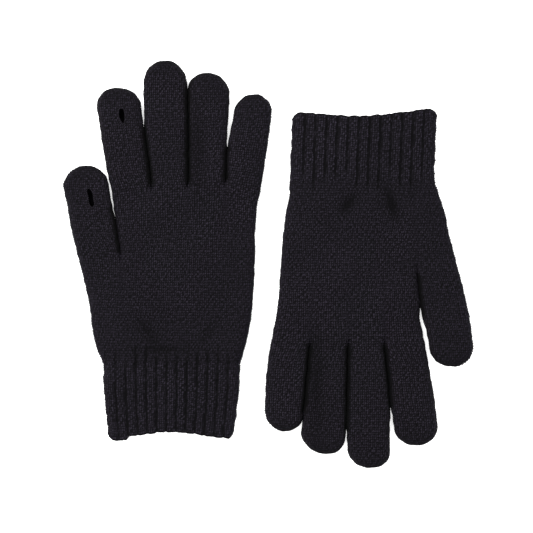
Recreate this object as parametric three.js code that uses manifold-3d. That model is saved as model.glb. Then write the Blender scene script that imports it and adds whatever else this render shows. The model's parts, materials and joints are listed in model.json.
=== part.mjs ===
// A pair of knitted touchscreen gloves lying flat: the left glove palm up with its fingers towards +Y,
// the right glove back up with its fingers towards -Y. Millimetres, +Z up. The pair rests on z = 0
// and the middle of its box is over the origin.
import * as THREE from "three";
import { mergeVertices } from "three/addons/utils/BufferGeometryUtils.js";
import Module from "manifold-3d";

const wasm = await Module();
wasm.setup();

// ---- driving dimensions ----
const THICKNESS = 10; // palm to back, with the knit lying puffed up but empty
const WALL = 2; // one layer of knit
const EDGE_ROUND = 3; // rounding along the side of every tube
const EDGE_STEPS = 2;
const GAP = 0.4; // between a piece and its neighbour
const FOLD_PAST_CROTCH = 7; // a digit folds this far past the fork it grows from
const ROOT_OVERLAP = 10; // how far a digit's tube reaches into the hand
const TIP_STEPS = 12; // sides of a round fingertip
const WRIST_OVERLAP = 7; // the cuff's outline runs this far past the wrist line before it is cut there
const MOUTH_REACH = 10; // the hand's hollow is opened this far to each side of the wrist line
const PAST_HEM = 15; // the cuff's hollow runs this far past its hem
const SLIT = { width: 2.4, binding: 1.3, lift: 0.3 }; // touch opening and its sewn edge
const ELASTIC = { fromWrist: 8, width: 1.2, deep: 0.8, clear: 0.3, skin: 0.6 };

// Each glove is described in its own frame: the origin is in the middle of the wrist line, +Y runs to
// the fingers and the thumb is at -X. A digit has the two ends of its root, from the thumb's side to the
// little finger's side, the middle of its round tip and the tip's radius.
const LEFT = {
  side: "left",
  place: [-58.6, -59.5],
  turn: 0,
  palmUp: true,
  fingerFold: 115,
  fingerBend: 139,
  thumbBend: 22,
  cuff: { wrist: 41.3, hem: [[-38.2, -46.7], [0, -42], [37.4, -45]] },
  thumbSide: [[-41.3, 0], [-46, 12], [-49.5, 32], [-53.4, 52], [-57.7, 66.8]],
  littleSide: [[53.6, 106], [52.6, 98], [50.4, 70], [49.2, 38], [45.6, 16], [41.3, 0]],
  indexSide: [[-31.1, 65.6], [-35.8, 98], [-36.6, 104]],
  digits: {
    thumb: { root: [[-57.7, 66.8], [-31.1, 65.6]], tip: [-51.9, 106.2], radius: 13.6 },
    index: { root: [[-36.6, 104], [-12.5, 106.8]], tip: [-32.2, 153.6], radius: 13.4 },
    middle: { root: [[-12.5, 106.8], [9.7, 108.1]], tip: [-4, 170.4], radius: 12.9 },
    ring: { root: [[9.7, 108.1], [32.2, 109.3]], tip: [21.9, 163.5], radius: 12.6 },
    little: { root: [[32.2, 109.3], [53.6, 106]], tip: [48.6, 151.6], radius: 11.7 },
  },
};
const RIGHT = {
  side: "right",
  place: [56.6, 51],
  turn: Math.PI,
  palmUp: false,
  fingerFold: 105.3,
  fingerBend: 129,
  thumbBend: 25,
  cuff: { wrist: 43.9, hem: [[-45.1, -43.7], [0, -39.1], [42.3, -41.3]] },
  thumbSide: [[-43.9, 0], [-47.5, 11], [-52, 26], [-55, 40], [-58.8, 55.5]],
  littleSide: [[55, 98.3], [51.4, 80], [49.6, 58], [47.8, 29], [45.6, 12], [43.9, 0]],
  indexSide: [[-33.5, 55.2], [-35.6, 80], [-38.4, 98.3]],
  digits: {
    thumb: { root: [[-58.8, 55.5], [-33.5, 55.2]], tip: [-54.2, 98.6], radius: 13.4 },
    index: { root: [[-38.4, 98.3], [-13.7, 98.3]], tip: [-32.5, 147.5], radius: 13.4 },
    middle: { root: [[-13.7, 98.3], [8.3, 98.3]], tip: [-4.5, 161.7], radius: 12.8 },
    ring: { root: [[8.3, 98.3], [31.4, 98.3]], tip: [23, 152.5], radius: 13.1 },
    little: { root: [[31.4, 98.3], [55, 98.3]], tip: [47.8, 140.7], radius: 11.3 },
  },
};

// Both gloves have the same touch openings. Each lies behind the middle of its digit's round tip, a little
// to the little finger's side of the digit's middle line.
const SLITS = {
  thumb: { length: 10.8, behindTip: 6.1, aside: 1.2 },
  index: { length: 8.7, behindTip: 3.5, aside: 0.8 },
};

// ---- materials ----
const knit = new THREE.MeshStandardMaterial({ color: 0x211f24, roughness: 0.95, metalness: 0 });
const rib = new THREE.MeshStandardMaterial({ color: 0x1e1c21, roughness: 0.95, metalness: 0 });
const binding = new THREE.MeshStandardMaterial({ color: 0x17161a, roughness: 0.9, metalness: 0 });
const rubber = new THREE.MeshStandardMaterial({ color: 0x141416, roughness: 0.7, metalness: 0 });

// ---- solids ----
function solid(geometry) {
  const bare = new THREE.BufferGeometry();
  const source = geometry.index ? geometry.toNonIndexed() : geometry;
  bare.setAttribute("position", source.getAttribute("position"));
  const merged = mergeVertices(bare, 1e-3);
  return new wasm.Manifold(
    new wasm.Mesh({
      numProp: 3,
      vertProperties: merged.attributes.position.array,
      triVerts: new Uint32Array(merged.index.array),
    }),
  );
}

function geometryOf(manifold) {
  const mesh = manifold.getMesh();
  const geometry = new THREE.BufferGeometry();
  const stride = mesh.numProp;
  const positions = new Float32Array(mesh.numVert * 3);
  for (let i = 0; i < mesh.numVert; i++) {
    positions.set(mesh.vertProperties.subarray(i * stride, i * stride + 3), i * 3);
  }
  geometry.setAttribute("position", new THREE.BufferAttribute(positions, 3));
  geometry.setIndex(new THREE.BufferAttribute(mesh.triVerts, 1));
  return geometry;
}

function mesh(name, manifold, material) {
  const made = new THREE.Mesh(geometryOf(manifold), material);
  made.name = name;
  return made;
}

// An outline pushed up into a flat tube between two heights, its long edges rounded on request.
function slab(points, low, high, round) {
  const shape = new THREE.Shape(points.map(([x, y]) => new THREE.Vector2(x, y)));
  const geometry = new THREE.ExtrudeGeometry(shape, {
    depth: high - low - 2 * round,
    bevelEnabled: round > 0,
    bevelThickness: round,
    bevelSize: round,
    bevelOffset: -round,
    bevelSegments: EDGE_STEPS,
    steps: 1,
  });
  geometry.translate(0, 0, low + round);
  return solid(geometry);
}

const outer = (points) => slab(points, 0, THICKNESS, EDGE_ROUND);
const hollow = (points) => slab(inset(points, WALL), WALL, THICKNESS - WALL, 0);

const STRAIGHT = 1e-4; // two sides that turn less than this are one straight side

// Moves every side of a counter-clockwise outline inwards by the same distance.
function inset(points, distance) {
  const count = points.length;
  const sides = points.map(([x, y], i) => {
    const [nextX, nextY] = points[(i + 1) % count];
    const length = Math.hypot(nextX - x, nextY - y);
    const normal = [-(nextY - y) / length, (nextX - x) / length];
    return { normal, reach: normal[0] * x + normal[1] * y + distance };
  });
  return sides.map((side, i) => {
    const before = sides[(i + count - 1) % count];
    const cross = before.normal[0] * side.normal[1] - before.normal[1] * side.normal[0];
    if (Math.abs(cross) < STRAIGHT) {
      return [points[i][0] + side.normal[0] * distance, points[i][1] + side.normal[1] * distance];
    }
    return [
      (before.reach * side.normal[1] - side.reach * before.normal[1]) / cross,
      (side.reach * before.normal[0] - before.reach * side.normal[0]) / cross,
    ];
  });
}

// ---- plan of one digit ----
// along is the unit vector from the middle of the root to the tip, and across is to its right.
function digitFrame(digit) {
  const [a, b] = digit.root;
  const middle = [(a[0] + b[0]) / 2, (a[1] + b[1]) / 2];
  const reach = Math.hypot(digit.tip[0] - middle[0], digit.tip[1] - middle[1]);
  const along = [(digit.tip[0] - middle[0]) / reach, (digit.tip[1] - middle[1]) / reach];
  return { middle, along, across: [along[1], -along[0]], reach };
}

const at = (frame, s, t) => [
  frame.middle[0] + frame.along[0] * s + frame.across[0] * t,
  frame.middle[1] + frame.along[1] * s + frame.across[1] * t,
];

// Counter-clockwise outline of a digit: straight sides from its root, carried on into the hand, and a
// round tip.
function digitOutline(digit) {
  const frame = digitFrame(digit);
  const half = Math.hypot(digit.root[1][0] - digit.root[0][0], digit.root[1][1] - digit.root[0][1]) / 2;
  const side = half - GAP / 2;
  const radius = digit.radius - GAP / 2;
  const points = [at(frame, -ROOT_OVERLAP, -side), at(frame, -ROOT_OVERLAP, side), at(frame, 0, side)];
  for (let i = 0; i <= TIP_STEPS; i++) {
    const angle = (Math.PI * i) / TIP_STEPS;
    points.push(at(frame, frame.reach + radius * Math.sin(angle), radius * Math.cos(angle)));
  }
  points.push(at(frame, 0, -side));
  return points;
}

// A block that keeps the part of a digit between two distances along a direction.
const FAR = 400;
function band(origin, along, from, to) {
  const box = new THREE.BoxGeometry(FAR, to - from, FAR);
  box.translate(0, (from + to) / 2, 0);
  box.rotateZ(Math.atan2(-along[0], along[1]));
  box.translate(origin[0], origin[1], 0);
  return solid(box);
}

// ---- touch openings ----
function oblong(length, width) {
  const points = [];
  const straight = (length - width) / 2;
  for (let i = 0; i <= TIP_STEPS; i++) {
    const angle = -Math.PI / 2 + (Math.PI * i) / TIP_STEPS;
    points.push([straight + (width / 2) * Math.cos(angle), (width / 2) * Math.sin(angle)]);
  }
  return [...points, ...points.map(([x, y]) => [-x, -y])];
}

function slitParts(glove, name) {
  const slit = SLITS[name];
  const digit = glove.digits[name];
  const frame = digitFrame(digit);
  const [x, y] = at(frame, frame.reach - slit.behindTip, slit.aside);
  const lean = Math.atan2(frame.along[1], frame.along[0]);
  const low = glove.palmUp ? THICKNESS - WALL : SLIT.lift;
  const high = glove.palmUp ? THICKNESS - SLIT.lift : WALL;
  const prism = (grow, bottom, top) =>
    slab(oblong(slit.length + 2 * grow, SLIT.width + 2 * grow), bottom, top, 0)
      .rotate([0, 0, THREE.MathUtils.radToDeg(lean)])
      .translate([x, y, 0]);
  const through = [low - WALL, high + WALL];
  return {
    hole: prism(SLIT.binding + 0.3, ...through),
    edge: prism(SLIT.binding, low, high).subtract(prism(0, ...through)),
  };
}

// ---- the glove's pieces ----
function digitPieces(glove, name) {
  const digit = glove.digits[name];
  const outline = digitOutline(digit);
  const tube = outer(outline);
  const space = hollow(outline);
  const frame = digitFrame(digit);
  const isThumb = name === "thumb";
  const origin = isThumb ? frame.middle : [0, 0];
  const along = isThumb ? frame.along : [0, 1];
  const fold = isThumb ? FOLD_PAST_CROTCH : glove.fingerFold;
  const bend = isThumb ? glove.thumbBend : glove.fingerBend;
  const cut = (from, to) => band(origin, along, from, to);
  const shell = tube.subtract(space);
  let end = shell.intersect(cut(bend + GAP / 2, FAR));
  const pieces = {};
  if (SLITS[name]) {
    const { hole, edge } = slitParts(glove, name);
    end = end.subtract(hole);
    pieces[`${name}_slit_edge`] = [edge, binding];
  }
  pieces[`${name}_base`] = [shell.intersect(cut(fold + GAP / 2, bend - GAP / 2)), knit];
  pieces[`${name}_end`] = [end, knit];
  return { pieces, stub: tube.intersect(cut(-FAR, fold - GAP / 2)), space };
}

function handPiece(glove, stubs, spaces) {
  const palm = [...glove.thumbSide, ...glove.indexSide, ...forks(glove), ...glove.littleSide].reverse();
  let outside = outer(palm);
  let inside = hollow(palm);
  stubs.forEach((stub) => (outside = outside.add(stub)));
  spaces.forEach((space) => (inside = inside.add(space)));
  const mouth = slab(inset(wristMouth(glove), WALL), WALL, THICKNESS - WALL, 0);
  const above = band([0, 0], [0, 1], GAP / 2, FAR);
  return outside.subtract(inside.add(mouth)).intersect(above);
}

const forks = (glove) => ["middle", "ring", "little"].map((name) => glove.digits[name].root[0]);

// The hollow of the hand carried on through its open end into the cuff.
const wristMouth = (glove) => {
  const { wrist } = glove.cuff;
  return [[-wrist, -MOUTH_REACH], [wrist, -MOUTH_REACH], [wrist, MOUTH_REACH], [-wrist, MOUTH_REACH]];
};

// The ribbed tube below the wrist line, open at both ends, with a groove round its inside for the elastic.
function cuffPiece(glove) {
  const { wrist, hem } = glove.cuff;
  const top = [[wrist, WRIST_OVERLAP], [-wrist, WRIST_OVERLAP]];
  const pastHem = hem[0][1] - PAST_HEM;
  const outline = [...hem, ...top];
  const long = [[hem[0][0], pastHem], [hem[2][0], pastHem], ...top];
  const below = band([0, 0], [0, 1], -FAR, -GAP / 2);
  return outer(outline)
    .subtract(hollow(long))
    .subtract(elasticBand(glove, ELASTIC.skin, ELASTIC.width + 2 * ELASTIC.clear))
    .intersect(below);
}

// A flat solid that fills the cuff's section, drawn in from its surface by a distance.
function elasticBand(glove, drawnIn, width) {
  const { wrist, hem } = glove.cuff;
  const wayToHem = ELASTIC.fromWrist / -hem[0][1];
  const half = wrist + ((hem[2][0] - hem[0][0]) / 2 - wrist) * wayToHem - drawnIn;
  const middle = ((hem[0][0] + hem[2][0]) / 2) * wayToHem;
  const radius = EDGE_ROUND - drawnIn;
  const shape = new THREE.Shape();
  const straight = half - radius;
  const rise = THICKNESS / 2 - EDGE_ROUND;
  shape.absarc(straight, rise, radius, 0, Math.PI / 2);
  shape.absarc(-straight, rise, radius, Math.PI / 2, Math.PI);
  shape.absarc(-straight, -rise, radius, Math.PI, 1.5 * Math.PI);
  shape.absarc(straight, -rise, radius, 1.5 * Math.PI, 2 * Math.PI);
  const geometry = new THREE.ExtrudeGeometry(shape, { depth: width, bevelEnabled: false, curveSegments: 3 });
  geometry.translate(0, 0, -width / 2);
  geometry.rotateX(Math.PI / 2);
  geometry.translate(middle, -ELASTIC.fromWrist, THICKNESS / 2);
  return solid(geometry);
}

function elasticPiece(glove) {
  const outside = ELASTIC.skin + ELASTIC.clear;
  const ring = elasticBand(glove, outside, ELASTIC.width);
  return ring.subtract(elasticBand(glove, outside + ELASTIC.deep, 2 * ELASTIC.width));
}

function gloveGroup(glove) {
  const group = new THREE.Group();
  const put = (name, manifold, material) => group.add(mesh(`${glove.side}_${name}`, manifold, material));
  const digits = Object.keys(glove.digits).map((name) => digitPieces(glove, name));
  put("hand", handPiece(glove, digits.map((d) => d.stub), digits.map((d) => d.space)), knit);
  put("cuff", cuffPiece(glove), rib);
  put("cuff_elastic", elasticPiece(glove), rubber);
  for (const { pieces } of digits) {
    for (const [name, [manifold, material]] of Object.entries(pieces)) put(name, manifold, material);
  }
  group.rotation.z = glove.turn;
  group.position.set(...glove.place, 0);
  return group;
}

const pair = new THREE.Group();
pair.add(gloveGroup(LEFT), gloveGroup(RIGHT));
const box = new THREE.Box3().setFromObject(pair, true);
const middle = box.getCenter(new THREE.Vector3());
pair.position.set(-middle.x, -middle.y, -box.min.z);

export default pair;
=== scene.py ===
"""A pair of black knitted touchscreen gloves lying flat on a white table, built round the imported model.

Every surface is laid out stitch by stitch. A ring of points goes round each knitted tube, with a fixed
number of points to one column of stitches (a wale), and the rings follow each other along the tube, three to
one row of stitches (a course). Lengths are millimetres in a glove's own frame, with its origin in the middle
of the wrist line, +Y to the fingers and the thumb at -X, until place() puts them in the row frame.
"""

import json
import math

import bpy
import numpy as np
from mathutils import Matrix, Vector


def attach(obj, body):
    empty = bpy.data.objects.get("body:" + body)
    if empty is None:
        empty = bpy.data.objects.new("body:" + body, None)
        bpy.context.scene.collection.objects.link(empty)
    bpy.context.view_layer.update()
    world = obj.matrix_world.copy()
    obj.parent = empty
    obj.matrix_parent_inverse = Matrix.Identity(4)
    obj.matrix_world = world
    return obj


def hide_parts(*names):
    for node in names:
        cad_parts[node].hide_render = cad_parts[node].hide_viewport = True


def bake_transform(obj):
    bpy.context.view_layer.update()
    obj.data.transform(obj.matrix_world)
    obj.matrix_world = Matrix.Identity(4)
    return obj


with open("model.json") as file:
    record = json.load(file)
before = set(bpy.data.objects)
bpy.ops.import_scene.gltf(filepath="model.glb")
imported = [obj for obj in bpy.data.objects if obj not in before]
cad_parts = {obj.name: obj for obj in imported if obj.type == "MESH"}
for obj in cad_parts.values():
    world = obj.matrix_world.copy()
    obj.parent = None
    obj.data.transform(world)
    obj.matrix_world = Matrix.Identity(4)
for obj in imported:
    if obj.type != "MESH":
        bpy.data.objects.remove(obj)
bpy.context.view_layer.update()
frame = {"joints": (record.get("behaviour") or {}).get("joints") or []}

# ---- driving dimensions ----
MM = 0.001
COURSE = 1.52            # height of one row of stitches
ROWS = 3                 # rings of points to a course
STEP = COURSE / ROWS
PER_WALE = 4             # points across one column of stitches
WALL = 1.7               # one layer of knit
RELIEF = 0.45            # how far a stitch stands out
CROWN = 0.35             # how much of that lies within the outlines, as a share
MIDDLE = 4.7             # height of the plane where palm and back meet
FLOOR_GAP = 0.45         # between the table and the outlines, for the relief
THUMB_FOLD = 7.0         # where the thumb folds, past the middle of its root

# A tube's section: how far it rises and drops from the middle plane, how wide its rounded edge is, and how
# much the middle of its upper side is domed.
HAND = {"rise": 3.8, "drop": MIDDLE - FLOOR_GAP, "corner": 5.5, "dome": 0.2}
DIGIT = {"rise": 4.5, "drop": MIDDLE - FLOOR_GAP, "corner": 5.0, "dome": 0.04}
CUFF = {"rise": 4.1, "drop": MIDDLE - FLOOR_GAP, "corner": 5.0, "dome": 0.08}

# Outlines are smooth curves through a few points, which are (y, x) for a side of the hand or cuff and (x, y)
# elsewhere. A digit has its two sides, from the root to where the tip starts, the far end of the tip, and
# how far along each side it lies against its neighbour. The fingers fold and bend at fold and bend, past the
# wrist line, and the thumb bends at thumb_bend, past its root. The grooves between ribs start anywhere in
# ribs_from. A crease has its middle (x, y), half its width and length, its turn in degrees, and its depth.
GLOVES = {
    "left": {
        "seed": 1,
        "palm_up": True,
        "fold": 115.0, "bend": 139.0, "thumb_bend": 22.0,
        "cuff_sides": ([(0, -41.8), (-20, -41.0), (-46.7, -38.5)], [(0, 41.3), (-20, 40.4), (-45, 37.5)]),
        "hem": [(-40, -46.4), (-29.4, -46.5), (-27.6, -46.2), (-26.6, -44.7), (-22, -44.0), (-15, -42.8),
                (-8, -41.7), (2, -41.5), (9, -42.1), (17, -43.0), (23, -44.2), (32, -45.2), (40, -45.2)],
        "ribs_from": (6, 17),
        "thumb_side": [(0, -41.8), (9, -45.5), (18, -48), (31, -49.3), (42, -51.3), (56, -54.8),
                       (67, -57.6)],
        "little_side": [(0, 41.4), (12.6, 44.9), (27, 47.8), (45, 49.3), (60, 50.1), (85, 50.6), (96, 51.7),
                        (106, 53.8)],
        "index_side": [(65.6, -31.1), (81, -33.4), (94, -35.4), (104, -36.6)],
        "hand_touch": 97,
        "creases": [(-5, 8.5, 2.2, 11, 90, 0.9), (-15, 20, 3, 11, -35, 0.8), (21, 17, 3, 10, 35, 0.6),
                    (10, 7, 2.0, 5, 0, 0.4), (15.5, 130, 4.5, 26, 0, 0.7)],
        "digits": {
            "thumb": {"left": [(-57.6, 67), (-61.2, 82), (-63.5, 96), (-65.9, 107)],
                      "right": [(-31.1, 65.6), (-33.5, 81), (-36.1, 94), (-38.5, 107)],
                      "end": (-51.8, 119.9), "touch": (0, 32)},
            "index": {"left": [(-36.6, 104), (-39.7, 118), (-42.4, 133), (-45.7, 156.5)],
                      "right": [(-12.5, 106.8), (-14.6, 125), (-16.8, 141.5), (-18.1, 150), (-19, 156.5)],
                      "end": (-32.8, 167.3), "touch": (0.1, 41)},
            "middle": {"left": [(-12.5, 106.8), (-14.6, 125), (-16.8, 141.5), (-17.1, 155), (-17.3, 169.5)],
                       "right": [(9.7, 108.1), (9.7, 140), (9.2, 169.5)],
                       "end": (-4.4, 183.9), "touch": (41, 64)},
            "ring": {"left": [(9.7, 108.1), (9.7, 140), (9.5, 164.5)],
                     "right": [(32.4, 109.3), (33.2, 129), (33.6, 141), (34.4, 151), (34.9, 164.5)],
                     "end": (21.1, 176.5), "touch": (60, 25)},
            "little": {"left": [(32.4, 109.3), (33.2, 129), (35.5, 141), (37.5, 151.5)],
                       "right": [(53.8, 106), (56.1, 121), (58.9, 140), (60.3, 151.8)],
                       "end": (49.6, 163.2), "touch": (25, 0)},
        },
    },
    "right": {
        "seed": 2,
        "palm_up": False,
        "fold": 105.3, "bend": 129.0, "thumb_bend": 25.0,
        "cuff_sides": ([(0, -44), (-20, -44.5), (-43.6, -45.4)], [(0, 43.5), (-20, 42.8), (-40.5, 42.0)]),
        "hem": [(-48, -43.2), (-41, -43.4), (-30, -42.1), (-16, -40.2), (0, -39.2), (14, -39.4), (29, -40.7),
                (37, -41), (46, -41)],
        "ribs_from": (2, 12),
        "thumb_side": [(0, -44), (9, -47), (20, -50.4), (31, -52.6), (42, -55.5), (55.5, -59)],
        "little_side": [(0, 43.6), (8, 43.6), (17, 45.4), (28, 47), (42, 48.3), (60, 49.5), (75, 50.7),
                        (86, 52.5), (98.3, 55)],
        "index_side": [(55.2, -33.6), (66, -34.7), (75, -35.7), (82, -35.2), (90, -36.6), (98.3, -38.3)],
        "hand_touch": 84,
        "creases": [(-18, 14, 2.7, 9, -18, 1.6), (8.3, 14, 3.4, 6.5, 35, 1.5), (-30, 8, 2, 5, 0, 0.4),
                    (-25, 54, 2, 3, 0, 0.5), (27.5, 120, 4.5, 26, 0, 1.0)],
        "digits": {
            "thumb": {"left": [(-59, 55.5), (-62.9, 71), (-65.8, 86), (-67.7, 101)],
                      "right": [(-33.6, 55.2), (-34.7, 66), (-35.7, 75), (-37.0, 83), (-39.1, 90),
                                (-41.2, 101)],
                      "end": (-54.6, 112.8), "touch": (0, 30)},
            "index": {"left": [(-38.3, 98.3), (-41.4, 115), (-43.9, 130), (-46.3, 149.5)],
                      "right": [(-13.8, 98.3), (-16.1, 120), (-17.5, 136.5), (-19.1, 145), (-19.7, 149.5)],
                      "end": (-32.8, 160.7), "touch": (0.1, 42)},
            "middle": {"left": [(-13.8, 98.3), (-16.1, 120), (-17.5, 136.5), (-17.1, 150), (-17.3, 163.8)],
                       "right": [(8.1, 98.3), (8.9, 130), (9.2, 150), (8.5, 163.8)],
                       "end": (-5.5, 174.5), "touch": (42, 56)},
            "ring": {"left": [(8.1, 98.3), (8.9, 130), (9.2, 149), (9.8, 154)],
                     "right": [(31.4, 98.3), (33.4, 120), (35.5, 142), (36.9, 153)],
                     "end": (22.1, 166), "touch": (56, 45)},
            "little": {"left": [(31.4, 98.3), (33.4, 120), (35.4, 141)],
                       "right": [(55, 98.3), (57, 111), (58.3, 127), (58.6, 140)],
                       "end": (46.4, 152.1), "touch": (45, 0)},
        },
    },
}
FINGERS = ("index", "middle", "ring", "little")

# The wales that each digit takes over from the hand's upper side, and those it gains in the forks at its
# left and right.
WALES = {"thumb": 11, "index": 10, "middle": 9, "ring": 9, "little": 9}
GAINED = {"thumb": (0, 2), "index": (0, 2), "middle": (2, 2), "ring": (2, 2), "little": (2, 0)}
GAINED_ROOM = 0.03       # share of a digit's width that the gained wales have at its root

# A touch opening: how far its middle lies from the end of the tip and beside the digit's middle line, and
# how much wider it is towards the tip. Its ends are blunter with a higher power.
SLITS = {
    "thumb": {"length": 12.2, "width": 3.4, "from_end": 19.8, "aside": -0.1, "flare": 0.0, "blunt": 4},
    "index": {"length": 10.2, "width": 3.8, "from_end": 18.1, "aside": 0.1, "flare": 0.4, "blunt": 2},
}
SLIT_EASE = 3.0          # distance over which the knit beside a slit makes room for it


def smooth(t):
    t = np.clip(t, 0, 1)
    return t * t * (3 - 2 * t)


def mix(a, b, t):
    return a + (b - a) * t


def spline(knots, values):
    """A smooth curve through values at rising or falling knots, as a function."""
    knots, values = np.asarray(knots, float), np.asarray(values, float)
    if knots[0] > knots[-1]:
        knots, values = knots[::-1], values[::-1]
    slopes = np.gradient(values, knots, axis=0)

    def at(x):
        i = np.clip(np.searchsorted(knots, x, side="right") - 1, 0, len(knots) - 2)
        h = knots[i + 1] - knots[i]
        t = np.clip((x - knots[i]) / h, 0, 1)
        if values.ndim == 2:
            h, t = np.expand_dims(h, -1), np.expand_dims(t, -1)
        step = values[i + 1] - values[i]
        bow = (slopes[i] * h - step) * (1 - t) - (slopes[i + 1] * h - step) * t
        return values[i] + step * t + bow * t * (1 - t)

    return at


def pairs(points):
    """The spline through a list of (knot, value)."""
    knots, values = zip(*points)
    return spline(knots, values)


def path(points):
    """The spline through points in plan, from 0 at the first to 1 at the last, and its length."""
    points = np.asarray(points, float)
    length = np.concatenate([[0], np.cumsum(np.hypot(*np.diff(points, axis=0).T))])
    return spline(length / length[-1], points), length[-1]


def straight(points):
    """A line across the hand, as y at x, straight between its points."""
    xs, ys = zip(*points)
    return lambda x: np.interp(x, xs, ys)


# ---- placing a glove in the row frame ----
def joint(name):
    return next(j for j in frame["joints"] if j["name"] == name)


def place(side, points):
    """Points of a glove's own frame, in millimetres, as points of the row frame, in metres."""
    wrist = joint(f"{side}_cuff_fold")
    turn = -wrist["axis"][0]
    x, y = wrist["pos_m"][:2]
    return np.asarray(points, float) * (turn * MM, turn * MM, MM) + (x, y, 0)


# ---- sections of a flat knitted tube ----
def even(count):
    return (np.arange(count) + 0.5) / count


class Half:
    """The upper or lower half of a flat tube's section, from its left edge to its right one."""

    def __init__(self, left, right, kind, height, upper):
        half, centre = (right - left) / 2, (right + left) / 2
        corner = min(kind["corner"], half)
        rise = (kind["rise"] if upper else -kind["drop"]) * height
        turn = np.linspace(0, math.pi / 2, 25)
        side = np.stack([corner * (1 - np.cos(turn)), rise * np.sin(turn)], 1)
        flat = np.linspace(corner, 2 * half - corner, 40)[1:-1]
        middle = np.stack([flat, np.full(len(flat), rise)], 1)
        line = np.concatenate([side, middle, side[::-1] * (-1, 1) + (2 * half, 0)])
        if upper:
            line[:, 1] *= 1 + kind["dome"] * (1 - (line[:, 0] / half - 1) ** 2)
        line[:, 0] += centre - half
        self.x, self.up = line.T
        length = np.concatenate([[0], np.cumsum(np.hypot(*np.diff(line, axis=0).T))])
        self.share = length / length[-1]

    def points(self, at):
        """Points at shares of the half's length, as (across, up)."""
        return np.stack([np.interp(at, self.share, self.x), np.interp(at, self.share, self.up)], 1)

    def beside(self, x):
        """The shares where the half is at x."""
        return np.interp(x, self.x, self.share)


# ---- where two sides touch ----
LEAN = 0.5               # how far the side of a digit leans over its neighbour
LEAN_REACH = 1.7         # height from the middle plane up to which it does
MEETING = 3              # length over which a digit's side starts to press against its neighbour
THUMB_MEETING = 4        # the same for the hand's side against the thumb
PARTING = 5              # length over which two sides that touch come apart
CALM = 0.5               # how much flatter the stitches are where a neighbour is near
PRESSED = 0.9            # how much of the stitches is lost where it presses
SIDE_WALES = 3           # wales of the hand's upper or lower side that lie against the thumb
SIDE_BAND = 4            # width of a digit's side, from its edge
SIDE_FADE = 3            # width over which that ends


def leaning(up):
    """How a side that lies against its neighbour is pushed over at each height from the middle plane."""
    return LEAN * up * np.exp(-((up / LEAN_REACH) ** 2))


def beside_neighbour(up, height, fade):
    """How near, from 0 to 1, a side is to its neighbour at each height from the middle plane."""
    return smooth((height - np.abs(up)) / fade)


# ---- what the stitches add to a surface ----
# How unlike each other the stitches are: the share of its height and tone that a leg, or a point, is off by.
LEG_HEIGHT, POINT_HEIGHT = 0.22, 0.16
LEG_TONE, POINT_TONE = 0.3, 0.22
TALLEST = 1.3            # the highest that makes a stitch, where a plain one is 1
ASTRAY = 0.3             # how far the rows and columns of stitches wander
UNEVEN = 0.55            # how far the empty glove rises and falls
EDGE_RELIEF = 0.95       # how much further the stitches stand out round a side with no neighbour
PAINTED_EDGE_SHEEN = 0.35         # painted sheen: how much lighter their colour is there
HIDDEN_STITCH_SHADE = 0.1       # painted shade: how much of the loft, and so of the colour, stays where no stitches show
CREASE_SHADE = 0.33      # how much darker a crease is for each millimetre of its depth
SHADED_TO = 1.4          # depth down to which it gets darker

# Waves that make up the unevenness of the glove and of its rows of stitches: cycles for each millimetre in x
# and in y, and the phase.
WAVES = [(0.011, 0.007, 0.4), (-0.014, 0.027, 2.1), (0.052, -0.033, 4.0), (0.023, 0.061, 5.2),
         (0.083, 0.02, 1.3)]
RIPPLES = [(0.05, 0.062, 1.9), (-0.038, 0.11, 0.3), (0.13, 0.045, 3.3), (0.09, -0.15, 5.0)]


def restless(rng, shape):
    """A table of random numbers, mostly from -1 to 1, that differ from their neighbours, with no patches."""
    table = rng.uniform(-1, 1, shape)
    return table - sum(np.roll(table, way, axis) for way in (-1, 1) for axis in (0, 1)) / 4


def leg_random(rng, u, v):
    """A random number for each of a stitch's two legs, at wale u and course v."""
    table = restless(rng, (int(v.max()) + 3, 2 * int(u.max()) + 4))
    return table[np.floor(v).astype(int), np.floor(2 * u).astype(int)]


def stockinette(u, v):
    """Height from 0 to 1 of plain knit at wale u and course v: two legs to a stitch, side by side."""
    aside = np.abs((u % 1) - 0.5) * 2
    along = np.abs(np.sin(math.pi * v))
    across = np.abs(np.cos(math.pi * v))
    leg = 0.4 + 0.6 * along ** 0.8
    heart = 0.2 + 0.2 * across
    seam = 0.08 + 0.3 * along
    return np.where(aside < 0.5, mix(heart, leg, aside * 2), mix(leg, seam, aside * 2 - 1))


def purl(u, v):
    """Height of the back of a stitch: one bar across the wale, and a hole."""
    return 0.1 + 0.6 * np.abs(np.cos(math.pi * v)) * (1 - 0.2 * np.cos(2 * math.pi * u))


def unevenness(x, y, seed, waves):
    """A smooth, irregular number from -1 to 1 at each place on a glove."""
    angles = (2 * math.pi * (fx * x + fy * y) + (phase + 1) * seed for fx, fy, phase in waves)
    return sum(np.sin(angle) for angle in angles) / len(waves)


def wander(glove, grid, amount=ASTRAY):
    """Lets the columns and rows of stitches wander a little, within the surface."""
    x, y = grid[..., 0].copy(), grid[..., 1].copy()
    grid[..., 0] += amount * unevenness(x, y, glove["seed"], RIPPLES)
    grid[..., 1] += amount * unevenness(x, y, glove["seed"] + 5, RIPPLES)


def normals(grid):
    """Outward unit normals of a grid of points whose second axis is a closed ring."""
    around = np.roll(grid, -1, 1) - np.roll(grid, 1, 1)
    n = np.cross(around, np.gradient(grid, axis=0))
    return n / np.maximum(np.linalg.norm(n, axis=2, keepdims=True), 1e-9)


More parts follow.
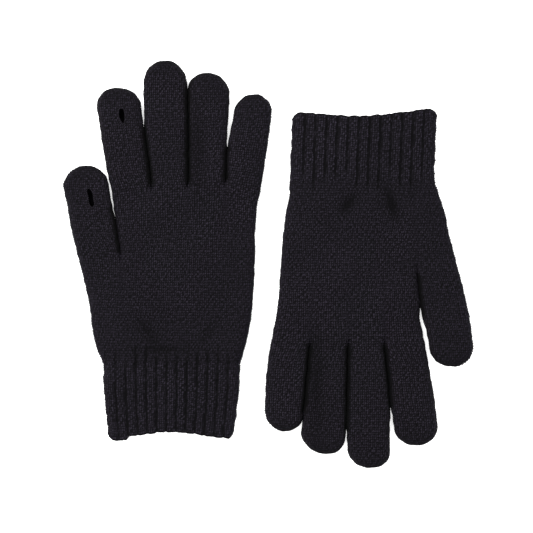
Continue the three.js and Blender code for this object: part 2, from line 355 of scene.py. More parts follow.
def laid(glove, grid):
    """How far the knit rises where the empty glove isn't quite flat, and how deep it sinks in creases."""
    x, y = grid[..., 0], grid[..., 1]
    sunk = 0
    for cx, cy, wide, long, turn, deep in glove["creases"]:
        ahead = np.array([math.sin(math.radians(turn)), math.cos(math.radians(turn))])
        along = (x - cx) * ahead[0] + (y - cy) * ahead[1]
        aside = (x - cx) * ahead[1] - (y - cy) * ahead[0]
        sunk = sunk + deep * np.exp(-((aside / wide) ** 2) - (along / long) ** 2)
    return UNEVEN * unevenness(x, y, glove["seed"], WAVES), sunk


def knit(glove, name, grid, u, v, pattern, shown=1.0, calm=1.0, dent=0.0):
    """The outer and inner layers of a grid of smooth rings, and the outer one's loft: how far each point
    stands out of the knit, mostly from 0 to 1, with some random tone. The yarn paints the loft as shade
    between the stitches, and this adds painted shade in creases and where no stitches show, and a painted
    sheen round free sides. shown is how much of the stitches is left, calm how much of their relief is,
    which is under 1 beside a neighbour, and dent how far the knit is drawn in."""
    rng = np.random.default_rng([glove["seed"], *name.encode()])
    n = normals(grid)
    loose = leg_random(rng, u, v)
    jitter = restless(rng, pattern.shape)
    height = np.clip(pattern * (1 + LEG_HEIGHT * loose) + POINT_HEIGHT * jitter, 0, TALLEST)
    up = smooth(n[..., 2])
    uneven, sunk = laid(glove, grid)
    rise = (uneven - sunk) * up - dent
    edge = np.where(calm < 1, 0, 1 - np.abs(n[..., 2]))
    relief = RELIEF * (height - CROWN) * (1 + EDGE_RELIEF * edge) * shown * calm
    out = grid + n * (rise + relief)[..., None]
    inner = grid + n * (np.minimum(rise, 0) - WALL)[..., None]
    tone = leg_random(rng, u, v)
    loft = np.clip(height * (1 + LEG_TONE * tone) + POINT_TONE * jitter[::-1], 0, TALLEST)
    # Painted light and shade: the colour is painted lighter round free sides, as a sheen, and darker where
    # no stitches show, as shade in the creases where digits press together; it also darkens round the ends
    # of the tips.
    loft = loft * (1 + PAINTED_EDGE_SHEEN * edge ** 0.7) * mix(HIDDEN_STITCH_SHADE, 1, shown)
    return out, inner, loft * (1 - CREASE_SHADE * np.minimum(sunk * up, SHADED_TO))


# ---- a closed shell of knit ----
INNER_LOFT = 0.4         # of the plain layer inside


class Shell:
    """Gathers the points, their lofts, which the yarn paints as shade, and the faces of one piece."""

    def __init__(self):
        self.points, self.lofts, self.soft, self.sharp = [], [], [], []
        self.count = 0

    def add(self, grid, loft=INNER_LOFT):
        grid = np.asarray(grid, float)
        shape = grid.shape[:-1]
        size = int(np.prod(shape))
        index = np.arange(self.count, self.count + size).reshape(shape)
        self.points.append(grid.reshape(-1, 3))
        self.lofts.append(np.broadcast_to(loft, shape).reshape(-1))
        self.count += size
        return index

    def skin(self, index, inside=False, keep=None):
        """Quads between the rings of an index grid. keep is True where a quad is wanted."""
        right = np.roll(index, -1, 1)
        quads = np.stack([index[:-1], right[:-1], right[1:], index[1:]], -1)
        quads = quads[keep] if keep is not None else quads.reshape(-1, 4)
        self.soft += (quads[:, ::-1] if inside else quads).tolist()

    def quad(self, a, b, c, d):
        self.sharp.append((int(a), int(b), int(c), int(d)))

    def rim(self, outer, inner, start):
        """Joins an outer ring to the inner ring that has one point to each stretch of the outer one.
        start says that the rim is at the first ring of the tube."""
        per = len(outer) // len(inner)
        way = -1 if start else 1
        for j in range(len(inner)):
            ahead = outer[(per * (j + 1)) % len(outer)]
            for i in range(per * j, per * (j + 1)):
                self.sharp.append((int(outer[i]), int(outer[(i + 1) % len(outer)]), int(inner[j]))[::way])
            self.sharp.append((int(ahead), int(inner[(j + 1) % len(inner)]), int(inner[j]))[::way])

    def cap(self, loop, pole, inside):
        """Closes the last ring of a tube with a fan to one point."""
        fan = np.stack([loop, np.roll(loop, -1), np.full(len(loop), pole)], 1)
        self.soft += (fan[:, ::-1] if inside else fan).tolist()

    def mesh(self, name, side, slot, *nodes):
        """The Blender object of this shell, which stands for CAD nodes."""
        data = bpy.data.meshes.new(name)
        data.from_pydata(place(side, np.concatenate(self.points)).tolist(), [], self.soft + self.sharp)
        data.polygons.foreach_set("use_smooth", [True] * len(self.soft) + [False] * len(self.sharp))
        loft = data.attributes.new("loft", "FLOAT", "POINT")
        loft.data.foreach_set("value", np.concatenate(self.lofts).astype(np.float32))
        data.update()
        data.materials.append(MATERIALS[slot])
        made = bpy.data.objects.new(name, data)
        bpy.context.scene.collection.objects.link(made)
        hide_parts(*(f"{side}_{node}" for node in nodes))
        return made


def thinned(rows):
    """The rings that an inner layer keeps: the first of every second course, and the last."""
    return sorted(set(range(0, rows + 1, ROWS * 2)) | {rows})


def one_per_wale(grid):
    return grid[:, PER_WALE // 2::PER_WALE]


# ---- ribs ----
RIBS = 28                # round one cuff
WALES_PER_RIB = 3        # the middle one in the groove, and half a ridge at each side of it
PURL = (0.43, 0.57)      # where the wale in the groove starts and ends, as a share of the rib
RIB_DEPTH = 0.92         # how far the knit is drawn in
GROOVE_WIDTH = 0.14      # half a groove's width, as a share of the rib
GROOVE_FADE = 13         # length over which a groove ends in the hand
GROOVES_FROM = 20        # past the wrist line, above the start of every groove
SIDE_GROOVE = 0.25       # how deep the grooves at the cuff's two sides are, as a share of the others
GROOVE_CALM = 0.6        # how much of the stitches' height is lost in a groove; through the loft this also paints shade there


def wavering(rng, least, count, k, at):
    """A random depth along each groove k, from least to 1, that changes smoothly between count places."""
    table = rng.uniform(least, 1, (RIBS, count))
    below = np.clip(at, 0, count - 1.01).astype(int)
    return mix(table[k, below], table[k, below + 1], smooth(at - below))


def rib_grooves(glove, fraction, y):
    """How deep, from 0 to 1, the knit is drawn in between two ridges, at a share of the way round the tube
    and a distance past the wrist line. No two grooves are alike: each starts at its own place, is broken a
    little by the rows of stitches, and fades in and out over every five rows."""
    rng = np.random.default_rng(glove["seed"] + 40)
    begin = rng.uniform(*glove["ribs_from"], RIBS)
    k = np.floor(fraction * RIBS).astype(int) % RIBS
    profile = np.exp(-(((fraction * RIBS) % 1 - 0.5) / GROOVE_WIDTH) ** 2)
    grown = smooth((begin[k] - y) / GROOVE_FADE)
    course = (GROOVES_FROM - y) / COURSE
    broken = wavering(rng, 0.5, 48, k, course)
    fading = wavering(rng, 0.55, 12, k, course / 5)
    from_side = 1 - np.abs((fraction % 0.5) - 0.25) / 0.25
    return profile * grown * broken * fading * mix(SIDE_GROOVE, 1, smooth(from_side / 0.3))


def down_in(groove):
    """How much of the knit, from 0 to 1, counts as down in a groove of some depth."""
    return smooth(groove * 1.8)


def in_ribs(share):
    """Moves points spread evenly over half a cuff: the middle wale of each rib is hidden in its groove, and
    the two at its sides take nearly all the room."""
    rib = share * RIBS / 2
    return (np.floor(rib) + np.interp(rib % 1, (0, 1 / 3, 2 / 3, 1), (0, *PURL, 1))) / (RIBS / 2)


def above_wrist(grid):
    """The share of the way round the wrist that each point of the hand has straight below it."""
    count = grid.shape[1] // 2
    share = np.arange(2 * count) / (2 * count)
    upper = np.interp(grid[:, :count, 0], grid[0, :count, 0], share[:count])
    lower = np.interp(grid[:, count:, 0], grid[0, :count - 1:-1, 0], share[:count - 1:-1])
    return np.concatenate([upper, lower], 1)


# ---- the hand ----
THUMB_FORK = 9           # length over which the hand parts into thumb and palm
FINGER_FORKS = 7         # length over which it parts into fingers
FAR = 99                 # beyond either side of the hand


def finger_roots(glove):
    """The points between which the fingers' roots lie, from the index finger's to past the little one's."""
    return [glove["digits"][name]["left"][0] for name in FINGERS] + [glove["digits"]["little"]["right"][0]]


def rows_above(glove):
    """How many rings the hand has between the thumb's fork and the knuckles."""
    return round(float(straight(finger_roots(glove))(0) - glove["digits"]["thumb"]["right"][0][1]) / STEP)


def hand_rows(bottom, top, left, right, forks, counts, kinds, rows, depth):
    """Rings from one line across the hand to another. bottom and top give y at x. The ring is one flat
    tube, and within depth of the top it draws in to one lobe for each stretch between the forks."""
    total = sum(counts)
    grid = np.zeros((rows + 1, 2 * total, 3))
    for i in range(rows + 1):
        t = i / rows
        y = mix(bottom(0), top(0), t)
        x0, x1 = left(mix(bottom(-FAR), top(-FAR), t)), right(mix(bottom(FAR), top(FAR), t))
        ends = [x0, *forks, x1]
        drawn = smooth((y - (top(0) - depth)) / depth) ** 2
        sides = []
        for upper in (True, False):
            whole = Half(x0, x1, HAND, 1, upper)
            split = np.concatenate([Half(a, b, kind, 1, upper).points(even(n))
                                    for a, b, n, kind in zip(ends[:-1], ends[1:], counts, kinds)])
            at = mix(even(total), whole.beside(split[:, 0]), smooth(t))
            sides.append(mix(whole.points(at), split, drawn))
        flat = np.concatenate([sides[0], sides[1][::-1]])
        grid[i, :, 0] = flat[:, 0]
        grid[i, :, 1] = mix(bottom(flat[:, 0]), top(flat[:, 0]), t)
        grid[i, :, 2] = MIDDLE + flat[:, 1]
    return grid


def openings(shell, outer, inner, counts, wanted):
    """The rims of the digits' openings in the hand's last ring, and the web in each fork."""
    total = sum(counts)
    starts = np.concatenate([[0], np.cumsum(counts)])

    def loop(ring, first, last, whole):
        return ring[np.concatenate([np.arange(first, last), np.arange(2 * whole - last, 2 * whole - first)])]

    for k in range(len(counts)):
        first, last = starts[k], starts[k + 1]
        if k in wanted:
            small = loop(inner, first // PER_WALE, last // PER_WALE, total // PER_WALE)
            shell.rim(loop(outer, first, last, total), small, start=False)
        if k + 1 < len(counts):
            for ring, per in ((outer, 1), (inner, PER_WALE)):
                a, b = last // per, (2 * total - last) // per
                corners = [ring[a - 1], ring[a], ring[b - 1], ring[b]]
                shell.quad(*(corners if per == 1 else corners[::-1]))


def hand(side):
    glove = GLOVES[side]
    thumb = glove["digits"]["thumb"]
    counts = {name: WALES[name] * PER_WALE for name in WALES}
    above = sum(counts[name] for name in FINGERS)
    thumb_root = (thumb["left"][0], thumb["right"][0])
    roots = finger_roots(glove)
    fork_y = thumb_root[1][1]
    wrist, shoulder = straight([(-FAR, 0), (FAR, 0)]), straight([(-FAR, fork_y), (FAR, fork_y)])
    fork_line, knuckles = straight([*thumb_root, (FAR, fork_y)]), straight(roots)
    little = pairs(glove["little_side"])

    lower_rows = round(fork_y / STEP)
    lower = hand_rows(wrist, fork_line, pairs(glove["thumb_side"]), little, [thumb_root[1][0]],
                      [counts["thumb"], above], [DIGIT, HAND], lower_rows, THUMB_FORK)
    upper_rows = rows_above(glove)
    upper = hand_rows(shoulder, knuckles, pairs(glove["index_side"]), little, [p[0] for p in roots[1:-1]],
                      [counts[name] for name in FINGERS], [DIGIT] * 4, upper_rows, FINGER_FORKS)
    shared = np.arange(counts["thumb"], counts["thumb"] + 2 * above)
    upper[0] = lower[-1, shared]
    calm = against_thumb(glove, upper, fork_y)

    def layers(grid, first_row, calm=1.0):
        row, column = np.indices(grid.shape[:2])
        u, v = column / PER_WALE, (row + first_row) / ROWS
        groove = rib_grooves(glove, above_wrist(grid), grid[..., 1]) if first_row == 0 else 0
        wander(glove, grid)
        pattern = stockinette(u, v) * (1 - GROOVE_CALM * down_in(groove))
        return knit(glove, f"hand{first_row}", grid, u, v, pattern, calm=calm, dent=RIB_DEPTH * groove)

    lower_out, lower_in, lower_loft_shade = layers(lower, 0)
    upper_out, upper_in, upper_loft_shade = layers(upper, lower_rows, calm)
    shell = Shell()
    low = shell.add(lower_out, lower_loft_shade)
    shell.skin(low)
    high = np.concatenate([low[-1:, shared], shell.add(upper_out[1:], upper_loft_shade[1:])])
    shell.skin(high)
    low_in = shell.add(one_per_wale(lower_in[thinned(lower_rows)]))
    shell.skin(low_in, inside=True)
    shared_in = np.arange(counts["thumb"] // PER_WALE, (counts["thumb"] + 2 * above) // PER_WALE)
    upper_in = one_per_wale(upper_in[thinned(upper_rows)[1:]])
    high_in = np.concatenate([low_in[-1:, shared_in], shell.add(upper_in)])
    shell.skin(high_in, inside=True)
    shell.rim(low[0], low_in[0], start=True)
    openings(shell, low[-1], low_in[-1], [counts["thumb"], above], wanted=[0])
    openings(shell, high[-1], high_in[-1], [counts[name] for name in FINGERS], wanted=range(4))
    piece = shell.mesh(f"{side}_hand_knit", side, "knit", "hand")
    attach(piece, f"{side}_hand")


def against_thumb(glove, grid, fork_y):
    """Leans the side of the hand that lies against the thumb. Gives how much of the relief is left."""
    up = grid[..., 2] - MIDDLE
    near = np.zeros(grid.shape[1])
    near[:SIDE_WALES * PER_WALE] = near[-SIDE_WALES * PER_WALE:] = 1
    near = near * smooth((grid[..., 1] - fork_y) / THUMB_MEETING)
    grid[..., 0] += leaning(up) * near * smooth((glove["hand_touch"] - grid[..., 1]) / PARTING)
    return 1 - CALM * near * beside_neighbour(up, 4.4, 2)


# ---- digits ----
TIP_ROUND = 7.5          # length over which a fingertip closes in height
ROOT_SPREAD = 13         # length over which the wales gained in a fork come to their full width
CAP_ROWS = 4             # rings that the inner layer leaves out at the end of the tip


def tip_turns(width, height):
    """Turns from the side of a round tip to its end, spread between even steps forward and even steps
    round the edge."""
    turn = np.linspace(0, math.pi / 2, 400)
    forward, inward = height * np.sin(turn), width * np.cos(turn)
    round_edge = np.concatenate([[0], np.cumsum(np.hypot(np.diff(forward), np.diff(inward)))])
    travelled = (forward + round_edge) / 2
    steps = int(round(travelled[-1] / STEP))
    return np.interp(np.arange(1, steps) / steps * travelled[-1], travelled, turn)


def spread_at_root(count, gained):
    """The shares of a digit's width where its points lie at its root. The wales that it gained in the
    forks are still close together there."""
    first, last = (n * PER_WALE for n in gained)
    start, end = GAINED_ROOM * (first > 0), 1 - GAINED_ROOM * (last > 0)
    return np.concatenate([even(first) * start, mix(start, end, even(count - first - last)),
                           mix(end, 1, even(last))])


def digit_rows(digit, count, gained):
    """Rings of a digit from its root to its tip, with how much of the stitches and of their relief shows."""
    (left, left_length), (right, right_length) = path(digit["left"]), path(digit["right"])
    rows = int(round((left_length + right_length) / 2 / STEP))
    base_left, base_right = left(1.0), right(1.0)
    centre, end = (base_left + base_right) / 2, np.array(digit["end"], float)
    tip = np.hypot(*(end - centre))
    turns = tip_turns(np.hypot(*(base_right - base_left)) / 2, tip)
    grid = np.zeros((rows + 1 + len(turns), 2 * count, 3))
    shown, calm = np.ones((2, *grid.shape[:2]))
    at_root = spread_at_root(count, gained)
    for i in range(len(grid)):
        turn = turns[i - rows - 1] if i > rows else 0.0
        t = min(i / rows, 1.0)
        a, b = left(t), right(t)
        middle, half = (a + b) / 2 + (end - centre) * math.sin(turn), (b - a) / 2 * math.cos(turn)
        width = np.hypot(*half)
        from_end = tip * (1 - math.sin(turn)) + (1 - t) * left_length
        height = math.sqrt(max(0.0, 1 - max(0.0, 1 - from_end / TIP_ROUND) ** 2))
        at = mix(at_root, even(count), smooth(t * left_length / ROOT_SPREAD))
        sides = [Half(-width, width, DIGIT, height, upper).points(at) for upper in (True, False)]
        flat = np.concatenate([sides[0], sides[1][::-1]])
        touch = [smooth(t * left_length / MEETING) * smooth((reach - t * left_length) / PARTING)
                 for reach in digit["touch"]]
        at_side = smooth((np.abs(flat[:, 0]) - width + SIDE_BAND) / SIDE_FADE)
        strength = np.where(flat[:, 0] < 0, *touch) * at_side
        calm[i] -= CALM * np.where(flat[:, 0] < 0, *(reach > 0 for reach in digit["touch"])) * at_side
        beside = flat[:, 0] + leaning(flat[:, 1]) * strength
        grid[i, :, :2] = middle + np.outer(beside / width, half)
        grid[i, :, 2] = MIDDLE + flat[:, 1]
        shown[i] = math.cos(turn) ** 0.5 * (1 - PRESSED * strength * beside_neighbour(flat[:, 1], 4.6, 2.3))
    return grid, shown, calm


def axis_of(digit):
    """The middle of a digit's root, its direction and the distance to the end of its tip."""
    middle = (np.array(digit["left"][0]) + np.array(digit["right"][0])) / 2
    way = np.array(digit["end"], float) - middle
    return middle, way / np.hypot(*way), np.hypot(*way)


def open_slit(name, side, digit, grid, count):
    """Moves the knit aside where the touch opening is. Gives the column to its right and its rows."""
    slit = SLITS[name]
    palm_up = GLOVES[side]["palm_up"]
    middle, along, reach = axis_of(digit)
    across = np.array([along[1], -along[0]])
    local = grid[..., :2] - middle
    s, t = local @ along, local @ across
    upper = np.arange(count) if palm_up else np.arange(2 * count - 1, count - 1, -1)
    centre = reach - slit["from_end"]
    row = int(np.argmin(np.abs(s[:, upper[count // 2]] - centre)))
    line = (t[row, upper[1:]] + t[row, upper[:-1]]) / 2
    column = int(np.argmin(np.abs(line - slit["aside"]))) + 1
    x = (s[:, upper[column]] - s[row, upper[column]]) / (slit["length"] / 2)
    rows = np.nonzero(np.abs(x) < 1)[0]
    rounded = np.clip(1 - np.abs(x) ** slit["blunt"], 0, 1) ** 0.5
    opening = slit["width"] / 2 * rounded * (1 + slit["flare"] * x)
    away = t[:, upper] - ((t[:, upper[column]] + t[:, upper[column - 1]]) / 2)[:, None]
    push = np.sign(away) * opening[:, None] * np.exp(-np.abs(away) / SLIT_EASE)
    grid[:, upper, 0] += push * across[0]
    grid[:, upper, 1] += push * across[1]
    return int(upper[column] if palm_up else upper[column - 1]), rows


def thumb_or_finger(side, name):
    glove = GLOVES[side]
    digit = glove["digits"][name]
    count = (WALES[name] + sum(GAINED[name])) * PER_WALE
    grid, shown, calm = digit_rows(digit, count, GAINED[name])
    slit = open_slit(name, side, digit, grid, count) if name in SLITS else None
    row, column = np.indices(grid.shape[:2])
    is_thumb = name == "thumb"
    fork_rows = round(glove["digits"]["thumb"]["right"][0][1] / STEP)
    before = fork_rows if is_thumb else fork_rows + rows_above(glove)
    u, v = column / PER_WALE, (row + before) / ROWS
    wander(glove, grid)
    outer, inner, loft = knit(glove, name, grid, u, v, stockinette(u, v), shown, calm)

    middle, along, _ = axis_of(digit)
    fold = THUMB_FOLD if is_thumb else glove["fold"]
    bend = glove["thumb_bend"] if is_thumb else glove["bend"]
    origin = middle if is_thumb else np.array([middle[0], 0.0])
    along = along if is_thumb else np.array([0.0, 1.0])
    measure = (grid[..., :2].mean(1) - origin) @ along
    seam = int(np.argmin(np.abs(measure - (fold + bend) / 2)))
    seam -= (seam + before - 1) % ROWS           # along the top of a row of stitches, where it hides best

    base = Shell()
    fine = base.add(outer[:seam + 1], loft[:seam + 1])
    base.skin(fine)
    coarse = base.add(one_per_wale(inner[thinned(seam)]))
    base.skin(coarse, inside=True)
    base.rim(fine[0], coarse[0], start=True)
    base.rim(fine[-1], coarse[-1], start=False)
    piece = base.mesh(f"{side}_{name}_base_knit", side, "knit", f"{name}_base")
    bends(piece, along)
    fingertip(side, name, outer[seam:], inner[seam:], loft[seam:], slit and (slit[0], slit[1] - seam))
    bends(bpy.data.objects[f"{side}_{name}_end_knit"],
          along)


def fingertip(side, name, outer, inner, loft, slit):
    """The end of a digit, closed at its tip. With a slit its inner layer is as fine as its outer one."""
    last = len(outer) - 1 - CAP_ROWS
    shell = Shell()
    fine = shell.add(outer, loft)
    coarse = shell.add(inner[:last + 1] if slit else one_per_wale(inner[thinned(last)]))
    pole_out, pole_in = shell.add(outer[-1:].mean(1))[0], shell.add(inner[last:last + 1].mean(1))[0]
    keep = None
    if slit:
        right, rows = slit
        keep = np.ones((len(outer) - 1, outer.shape[1]), bool)
        keep[rows[0]:rows[-1], right - 1] = False
        slit_walls(shell, fine, coarse, right - 1, right, rows[0], rows[-1])
    shell.skin(fine, keep=keep)
    shell.skin(coarse, inside=True, keep=keep[:last] if slit else None)
    shell.rim(fine[0], coarse[0], start=True)
    shell.cap(fine[-1], pole_out, inside=False)
    shell.cap(coarse[-1], pole_in, inside=True)
    shell.mesh(f"{side}_{name}_end_knit", side, "knit", f"{name}_end")
    if slit:
        binding(side, name, outer, inner, slit[1], right - 1, right)


def slit_walls(shell, outer, inner, left, right, first, last):
    """The cut edges of the slit, from the outer layer down to the inner one."""
    for i in range(first, last):
        shell.quad(outer[i, left], outer[i + 1, left], inner[i + 1, left], inner[i, left])
        shell.quad(outer[i + 1, right], outer[i, right], inner[i, right], inner[i + 1, right])
    shell.quad(outer[first, right], outer[first, left], inner[first, left], inner[first, right])
    shell.quad(outer[last, left], outer[last, right], inner[last, right], inner[last, left])


def bends(piece, along):
    """Bakes a piece's transform into its mesh."""
    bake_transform(piece)


# ---- threads ----
# A thread has its radius, the turns of its twist, how deep the twist cuts into it, and its count of sides.
BINDING = {"radius": 0.4, "turns": 24, "depth": 0.25, "sides": 10}
ELASTIC = {"radius": 0.4, "turns": 120, "depth": 0.12, "sides": 8}
BINDING_SINKS = 0.22     # how deep the binding lies in a slit, as a share of the wall


def thread(name, side, slot, node, loop, radius, turns, depth, sides):
    """A closed thread along a loop of points, wound with a lumpy twist."""
    loop = np.asarray(loop, float)
    ahead = np.roll(loop, -1, 0) - np.roll(loop, 1, 0)
    ahead /= np.linalg.norm(ahead, axis=1, keepdims=True)
    beside = np.cross(ahead, (0.0, 0.0, 1.0))
    beside /= np.linalg.norm(beside, axis=1, keepdims=True)
    above = np.cross(beside, ahead)
    step = np.linalg.norm(np.roll(loop, -1, 0) - loop, axis=1)
    travel = np.concatenate([[0], np.cumsum(step)[:-1]]) / step.sum()
    turn = np.linspace(0, 2 * math.pi, sides, endpoint=False)
    twist = np.cos(2 * math.pi * turns * travel[:, None] + turn)
    spoke = (radius * (1 + depth * twist))[..., None]
    out = np.cos(turn)[:, None] * beside[:, None] + np.sin(turn)[:, None] * above[:, None]
    shell = Shell()
    # The loft follows the twist, so the yarn paints shade into the grooves of the twist.
    index = shell.add(loop[:, None] + spoke * out, 0.5 + 0.5 * twist)
    shell.skin(np.concatenate([index, index[:1]]))
    return shell.mesh(name, side, slot, node)


def evenly(loop, count, soften):
    """A closed loop of points spread evenly, with its corners softened."""
    closed = np.concatenate([loop, loop[:1]])
    length = np.concatenate([[0], np.cumsum(np.linalg.norm(np.diff(closed, axis=0), axis=1))])
    at = np.linspace(0, length[-1], count, endpoint=False)
    even = np.stack([np.interp(at, length, closed[:, k]) for k in range(3)], 1)
    return sum(np.roll(even, k, 0) for k in range(-soften, soften + 1)) / (2 * soften + 1)


def binding(side, name, outer, inner, rows, left, right):
    """The sewn edge of a slit: thread wound over and over round it, just under the outer surface."""
    one = mix(outer[rows, left], inner[rows, left], BINDING_SINKS)
    other = mix(outer[rows[::-1], right], inner[rows[::-1], right], BINDING_SINKS)
    loop = evenly(np.concatenate([one, other]), count=180, soften=4)
    piece = thread(f"{side}_{name}_slit_thread", side, "binding", f"{name}_slit_edge", loop, **BINDING)
    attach(piece, f"{side}_{name}_end")


# ---- cuffs ----
LINING = 0.3             # how much thicker a cuff is than the hand
RIBS_ASTRAY = 0.45       # how far the rows and columns of a cuff's stitches wander
HEM_RINGS = 3            # rings round the hem's edge, between the outer layer and the inner one
HEM_BULGE = 1.05         # how far that edge reaches past the first ring of the outer layer
HEM_CORNER = 3.6         # width of the hem's rounded corners
HEM_CORNER_RISE = 0.8    # their height, as a share of their width
SCALLOP = 0.5            # how much further a ridge hangs down at the hem than a groove
SCALLOP_REACH = 0.07     # share of the cuff over which it does
ELASTIC_AT = -16.0       # past the wrist line
ELASTIC_INSET = 0.25     # between the cuff's inner layer and the middle of the elastic


def cuff(side):
    glove = GLOVES[side]
    count = RIBS * WALES_PER_RIB * PER_WALE // 2
    spread = in_ribs(even(count))
    left, right = (pairs(points) for points in glove["cuff_sides"])
    hem = pairs(glove["hem"])
    depth = -min(y for _, y in glove["hem"])
    rows = int(round(depth / STEP))
    grid = np.zeros((rows + 1, 2 * count, 3))
    for i in range(rows + 1):
        t = 1 - i / rows
        x0, x1 = left(-depth * t), right(-depth * t)
        shift = smooth(t * 2)
        kind = {key: mix(HAND[key], CUFF[key], shift) for key in CUFF}
        sides = [Half(x0, x1, kind, 1, upper).points(spread) for upper in (True, False)]
        flat = np.concatenate([sides[0], sides[1][::-1]])
        x = flat[:, 0]
        corner = np.clip(1 - np.minimum(x - x0, x1 - x) / HEM_CORNER, 0, 1)
        lowest = hem(x) + HEM_BULGE + HEM_CORNER * HEM_CORNER_RISE * (1 - np.sqrt(1 - corner ** 2))
        grid[i, :, 0] = x
        grid[i, :, 1] = lowest * t
        grid[i, :, 2] = MIDDLE + flat[:, 1]
    row, column = np.indices(grid.shape[:2])
    groove = rib_grooves(glove, np.concatenate([spread, 1 + spread]) / 2, grid[..., 1])
    grid[..., 1] -= SCALLOP * (1 - groove) * smooth(1 - row / rows / SCALLOP_REACH)
    u, v = column / PER_WALE, row / ROWS
    down = down_in(groove)
    pattern = mix(stockinette(u, v), purl(u, v) * (1 - GROOVE_CALM * down), down)
    wander(glove, grid, RIBS_ASTRAY)
    outer, inner, loft = knit(glove, "cuff", grid, u, v, pattern, dent=RIB_DEPTH * groove)
    inner -= normals(grid) * LINING

    shell = Shell()
    hem_rings = []
    for k in range(1, HEM_RINGS + 1):
        angle = math.pi * k / (HEM_RINGS + 1)
        radial = (outer[0] - inner[0]) / 2
        edge = np.zeros_like(radial)
        edge[:, 1] = -np.linalg.norm(radial, axis=1)
        hem_rings.append((outer[0] + inner[0]) / 2 + radial * math.cos(angle) + edge * math.sin(angle))
    fine = shell.add(np.concatenate([hem_rings[::-1], outer]), np.concatenate([[loft[0]] * HEM_RINGS, loft]))
    shell.skin(fine)
    coarse = shell.add(one_per_wale(inner[thinned(rows)]))
    shell.skin(coarse, inside=True)
    shell.rim(fine[0], coarse[0], start=True)
    shell.rim(fine[-1], coarse[-1], start=False)
    piece = shell.mesh(f"{side}_cuff_rib", side, "rib", "cuff")
    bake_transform(piece)

    ring = int(np.argmin(np.abs(grid[:, count // 2, 1] - ELASTIC_AT)))
    inside = evenly(inner[ring] - normals(grid)[ring] * ELASTIC_INSET, count=150, soften=3)
    elastic = thread(f"{side}_cuff_elastic_thread", side, "elastic", "cuff_elastic", inside, **ELASTIC)
    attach(elastic, f"{side}_cuff")


# ---- materials ----
# Each yarn's tone, and its multiples where the loft is least, halfway and greatest, which paint shade and
# light into the colour: darkest between the stitches, lightest on their crowns.
TONES = {
    "knit": ("black_knit", (0.0043, 0.0036, 0.0054)),
    "rib": ("black_rib", (0.0050, 0.0042, 0.0063)),
    "binding": ("binding_thread", (0.0050, 0.0044, 0.0060)),
    "elastic": ("elastic_thread", (0.0050, 0.0050, 0.0058)),
}
BY_LOFT = (0.02, 0.6, 3.4)


def noise(tree, scale, detail=3.0, roughness=0.5):
    coordinates = tree.nodes.new("ShaderNodeTexCoord")
    texture = tree.nodes.new("ShaderNodeTexNoise")
    texture.inputs["Scale"].default_value = scale
    texture.inputs["Detail"].default_value = detail
    texture.inputs["Roughness"].default_value = roughness
    tree.links.new(coordinates.outputs["Object"], texture.inputs["Vector"])
    return texture.outputs["Fac"]


def ramp(tree, factor, stops):
    node = tree.nodes.new("ShaderNodeValToRGB")
    elements = node.color_ramp.elements
    while len(elements) < len(stops):
        elements.new(0.5)
    for element, (position, colour) in zip(elements, stops):
        element.position = position
        element.color = (*colour, 1)
    tree.links.new(factor, node.inputs["Fac"])
    return node.outputs["Color"]


def multiply(tree, a, b):
    node = tree.nodes.new("ShaderNodeMix")
    node.data_type = "RGBA"
    node.blend_type = "MULTIPLY"
    node.inputs["Factor"].default_value = 1.0
    tree.links.new(a, node.inputs["A"])
    tree.links.new(b, node.inputs["B"])
    return node.outputs["Result"]


def material(name, roughness):
    made = bpy.data.materials.new(name)
    made.use_nodes = True
    shader = made.node_tree.nodes["Principled BSDF"]
    shader.inputs["Roughness"].default_value = roughness
    return made, made.node_tree, shader


def yarn(name, tone):
    """Soft black yarn, heathered, with fine loose fibres. Its colour is painted with shade and light from
    the
    loft: dark between the stitches and in creases, lighter as a sheen round free sides.
    """
    made, tree, shader = material(name, 0.95)
    loft = tree.nodes.new("ShaderNodeAttribute")
    loft.attribute_name = "loft"
    # Painted shade: the loft takes the tone from dark between the stitches to light on their crowns.
    deep, mean, crown = (tuple(c * k for c in tone) for k in BY_LOFT)
    depth = ramp(tree, loft.outputs["Fac"], [(0.08, deep), (0.5, mean), (1.0, crown)])
    heather = ramp(tree, noise(tree, 2000, 4, 0.7), [(0.3, (0.25, 0.25, 0.25)), (0.7, (1.7, 1.7, 1.7))])
    patch = ramp(tree, noise(tree, 40, 1), [(0.3, (0.87, 0.87, 0.88)), (0.7, (1.08, 1.08, 1.08))])
    tree.links.new(multiply(tree, multiply(tree, depth, heather), patch), shader.inputs["Base Color"])
    shader.inputs["Specular IOR Level"].default_value = 0.08
    bump = tree.nodes.new("ShaderNodeBump")
    bump.inputs["Strength"].default_value = 0.6
    bump.inputs["Distance"].default_value = 0.0003
    tree.links.new(noise(tree, 2600, 5, 0.7), bump.inputs["Height"])
    tree.links.new(bump.outputs["Normal"], shader.inputs["Normal"])
    return made


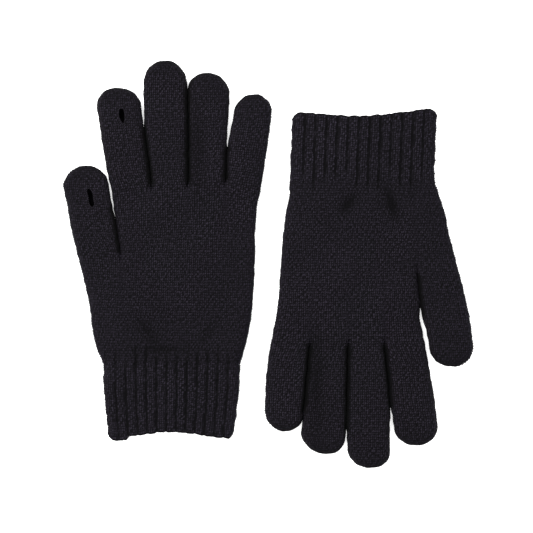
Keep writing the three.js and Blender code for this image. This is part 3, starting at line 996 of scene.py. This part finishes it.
# ---- the table, the light and the camera ----
# In metres, in the row frame.
TABLE_REACH = 3.0
FIELD = 0.3235           # width of the picture at the gloves
AIM = (-0.00125, -0.00106, 0.006)
SKY = 1.45               # strength of the white light from all round
LAMPS = {"window": {"spot": (-0.5, 0.55, 0.8), "size": 0.6, "power": 14},
         "fill": {"spot": (1.2, -0.6, 1.9), "size": 1.6, "power": 10}}


def table():
    data = bpy.data.meshes.new("table")
    corners = [(x * TABLE_REACH, y * TABLE_REACH, 0) for x, y in ((-1, -1), (1, -1), (1, 1), (-1, 1))]
    data.from_pydata(corners, [], [(0, 1, 2, 3)])
    floor = bpy.data.objects.new("table", data)
    bpy.context.scene.collection.objects.link(floor)
    white, tree, shader = material("table_white", 0.9)
    tone = ramp(tree, noise(tree, 6, 2), [(0.0, (0.93, 0.93, 0.93)), (1.0, (0.96, 0.96, 0.96))])
    tree.links.new(tone, shader.inputs["Base Color"])
    shader.inputs["Specular IOR Level"].default_value = 0.1
    shader.inputs["Emission Color"].default_value = (1, 1, 1, 1)
    shader.inputs["Emission Strength"].default_value = 0.6
    data.materials.append(white)


def lights():
    world = bpy.data.worlds.new("studio")
    world.use_nodes = True
    background = world.node_tree.nodes["Background"]
    background.inputs["Color"].default_value = (1, 1, 1, 1)
    background.inputs["Strength"].default_value = SKY
    bpy.context.scene.world = world
    for name, lit in LAMPS.items():
        light = bpy.data.lights.new(name, "AREA")
        light.size = lit["size"]
        light.energy = lit["power"]
        lamp = bpy.data.objects.new(name, light)
        lamp.location = lit["spot"]
        lamp.rotation_euler = (-Vector(lit["spot"])).to_track_quat("-Z", "Y").to_euler()
        bpy.context.scene.collection.objects.link(lamp)


def camera():
    data = bpy.data.cameras.new("camera")
    data.lens = 100
    data.sensor_width = 36
    made = bpy.data.objects.new("camera", data)
    made.location = (AIM[0], AIM[1], AIM[2] + FIELD * data.lens / data.sensor_width)
    bpy.context.scene.collection.objects.link(made)
    bpy.context.scene.camera = made


# ---- the scene ----
camera()
table()
lights()
bpy.context.scene.view_settings.view_transform = "Standard"
MATERIALS = {slot: yarn(name, tone) for slot, (name, tone) in TONES.items()}

for side in GLOVES:
    hand(side)
    for name in GLOVES[side]["digits"]:
        thumb_or_finger(side, name)
    cuff(side)
